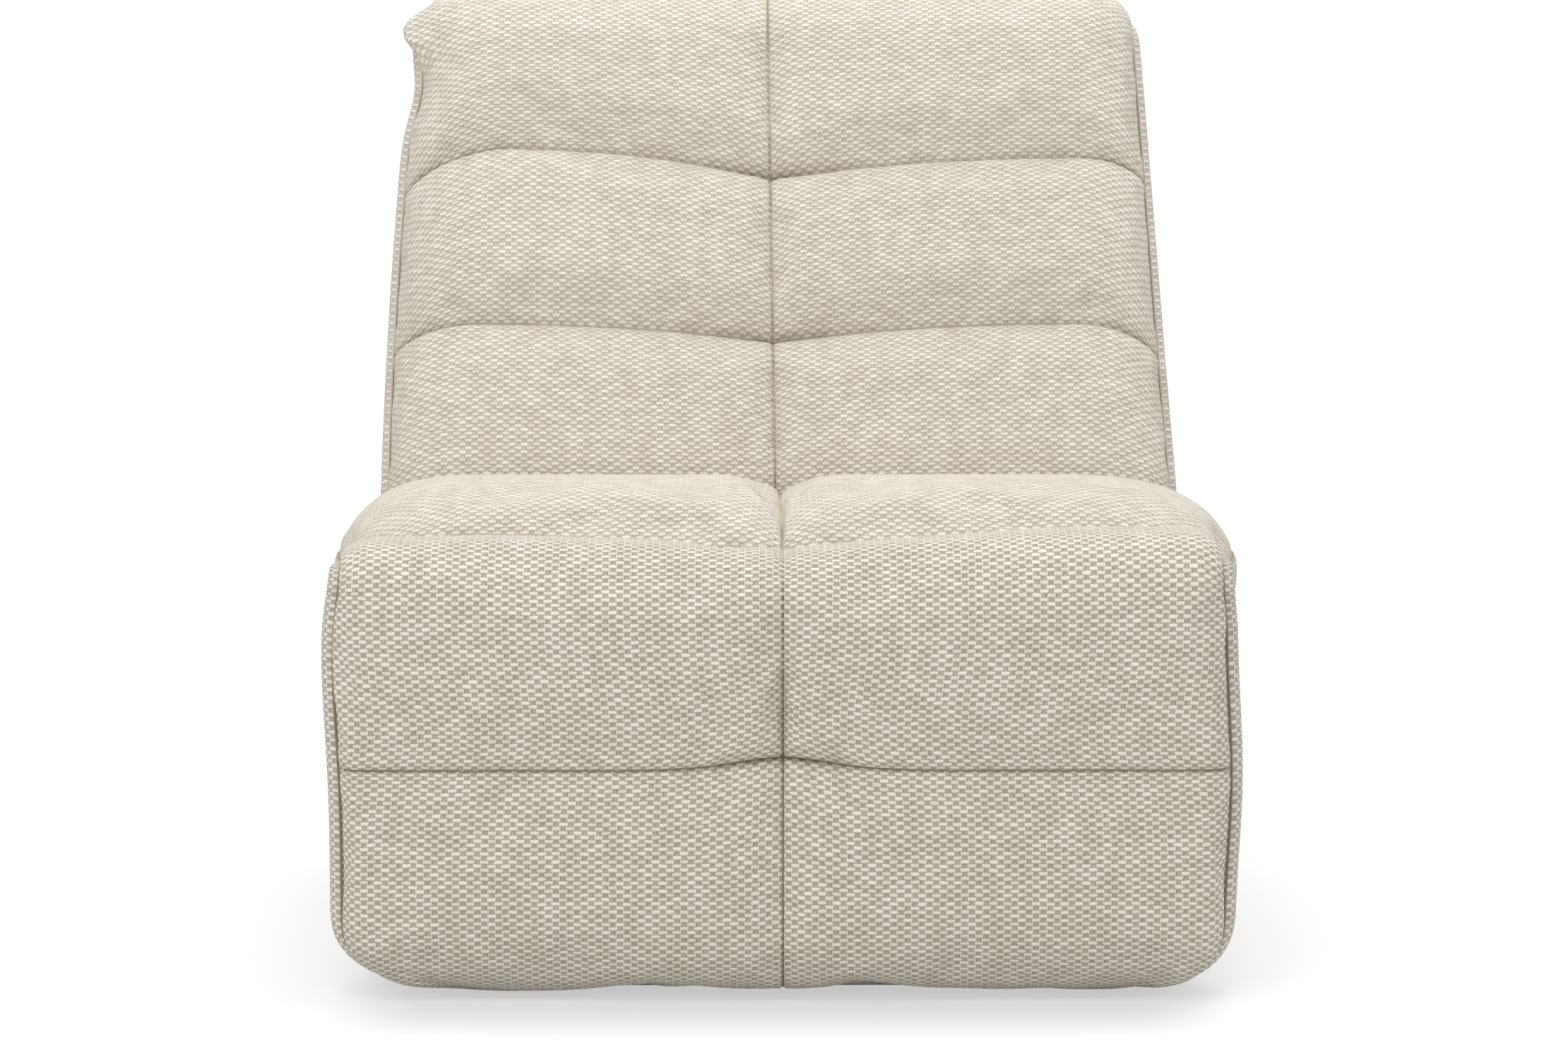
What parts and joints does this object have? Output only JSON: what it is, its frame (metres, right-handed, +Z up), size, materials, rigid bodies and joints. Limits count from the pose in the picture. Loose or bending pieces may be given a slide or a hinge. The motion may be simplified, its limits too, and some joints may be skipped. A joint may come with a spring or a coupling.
{
  "type": "armless push-back recliner",
  "caption": "Armless upholstered recliner: pillowed back and seat in woven cloth; the back leans and crossed links swing the full-width legrest out.",
  "frame": {"origin": "on the floor, under the middle of the chair's outline", "axes": "+Z up, -Y is the way the sitter faces, +X is to the right of a viewer who faces the chair"},
  "size_m": [0.82, 1.0305, 0.9293],
  "materials": {
    "upholstery": "woven, matt",
    "dust_cloth": "non-woven, matt",
    "webbing": "woven strap, matt",
    "glides": "matt",
    "nylon": "satin",
    "spring_steel": "drawn wire",
    "frame_wood": "raw, sanded",
    "zinc_steel": "zinc plated",
    "black_steel": "satin black"
  },
  "bodies": {
    "base": {"back_pivot_pins": "zinc_steel", "dust_cover": "dust_cloth", "front_cross_rail": "frame_wood", "glide_feet": "glides", "main_pivot_pins": "zinc_steel", "mechanism_plate_left": "black_steel", "mechanism_plate_right": "black_steel", "pivot_spacers": "nylon", "plate_bolts": "zinc_steel", "rear_cross_rail": "frame_wood", "rear_panel": "upholstery", "return_spring_left": "spring_steel", "return_spring_right": "spring_steel", "seat_cushion": "upholstery", "seat_front_board": "frame_wood", "seat_front_rail": "frame_wood", "seat_rail_screws": "zinc_steel", "seat_rear_rail": "frame_wood", "seat_springs": "spring_steel", "side_panel_left": "upholstery", "side_panel_right": "upholstery", "side_rail_left": "frame_wood", "side_rail_right": "frame_wood", "spring_anchor_pins": "zinc_steel", "spring_clips": "spring_steel"},
    "backrest": {"back_bottom_rail": "frame_wood", "back_middle_rail": "frame_wood", "back_top_rail": "frame_wood", "back_post_left": "frame_wood", "back_post_right": "frame_wood", "back_bracket_left": "black_steel", "back_bracket_right": "black_steel", "back_webbing": "webbing", "bracket_bolts": "zinc_steel", "back_cushion": "upholstery", "outer_back_cover": "upholstery", "rod_rear_pins": "zinc_steel"},
    "rear_links": {"rear_link_left": "black_steel", "rear_link_right": "black_steel", "torque_tube": "black_steel", "cross_pins": "zinc_steel", "control_low_pins": "zinc_steel", "spring_pins": "zinc_steel"},
    "front_links": {"front_link_left": "black_steel", "front_link_right": "black_steel", "slot_pins": "zinc_steel", "slot_rollers": "nylon"},
    "control_links": {"control_link_left": "black_steel", "control_link_right": "black_steel"},
    "push_rods": {"push_rod_left": "black_steel", "push_rod_right": "black_steel", "rod_front_pins": "zinc_steel"},
    "legrest": {"legrest_board": "frame_wood", "legrest_bracket_left": "black_steel", "legrest_bracket_right": "black_steel", "legrest_pad": "upholstery", "legrest_pins": "zinc_steel", "control_high_pins": "zinc_steel", "board_screw_heads": "zinc_steel"}
  },
  "joints": [
    {"name": "back_recline", "type": "hinge", "parent": "base", "child": "backrest", "pos_m": [0, 0.22419, 0.325], "axis": [-1, 0, 0], "range_deg": [0, 44], "stiffness_Nm_per_rad": 80, "springref_deg": -28.65},
    {"name": "rear_link_swing", "type": "hinge", "parent": "base", "child": "rear_links", "pos_m": [0, -0.3135, 0.31929], "axis": [-1, 0, 0], "range_deg": [0, 44], "deforming": ["return_spring_left", "return_spring_right"]},
    {"name": "front_link_fold", "type": "hinge", "parent": "rear_links", "child": "front_links", "pos_m": [0, -0.30191, 0.18127], "axis": [-1, 0, 0], "range_deg": [-88, 0]},
    {"name": "legrest_tilt", "type": "hinge", "parent": "front_links", "child": "legrest", "pos_m": [0, -0.36, 0.307], "axis": [-1, 0, 0], "range_deg": [0, 132]},
    {"name": "push_rod_pivot", "type": "hinge", "parent": "backrest", "child": "push_rods", "pos_m": [0, 0.23256, 0.22535], "axis": [-1, 0, 0], "range_deg": [-44, 0]},
    {"name": "control_link_pivot", "type": "hinge", "parent": "rear_links", "child": "control_links", "pos_m": [0, -0.2976, 0.12995], "axis": [-1, 0, 0], "range_deg": [-83.6, 0]}
  ],
  "couplings": [
    {"joint": "rear_link_swing", "follows": "back_recline", "ratio": 1},
    {"joint": "front_link_fold", "follows": "back_recline", "ratio": -2},
    {"joint": "legrest_tilt", "follows": "back_recline", "ratio": 3},
    {"joint": "push_rod_pivot", "follows": "back_recline", "ratio": -1},
    {"joint": "control_link_pivot", "follows": "back_recline", "ratio": -1.9}
  ]
}
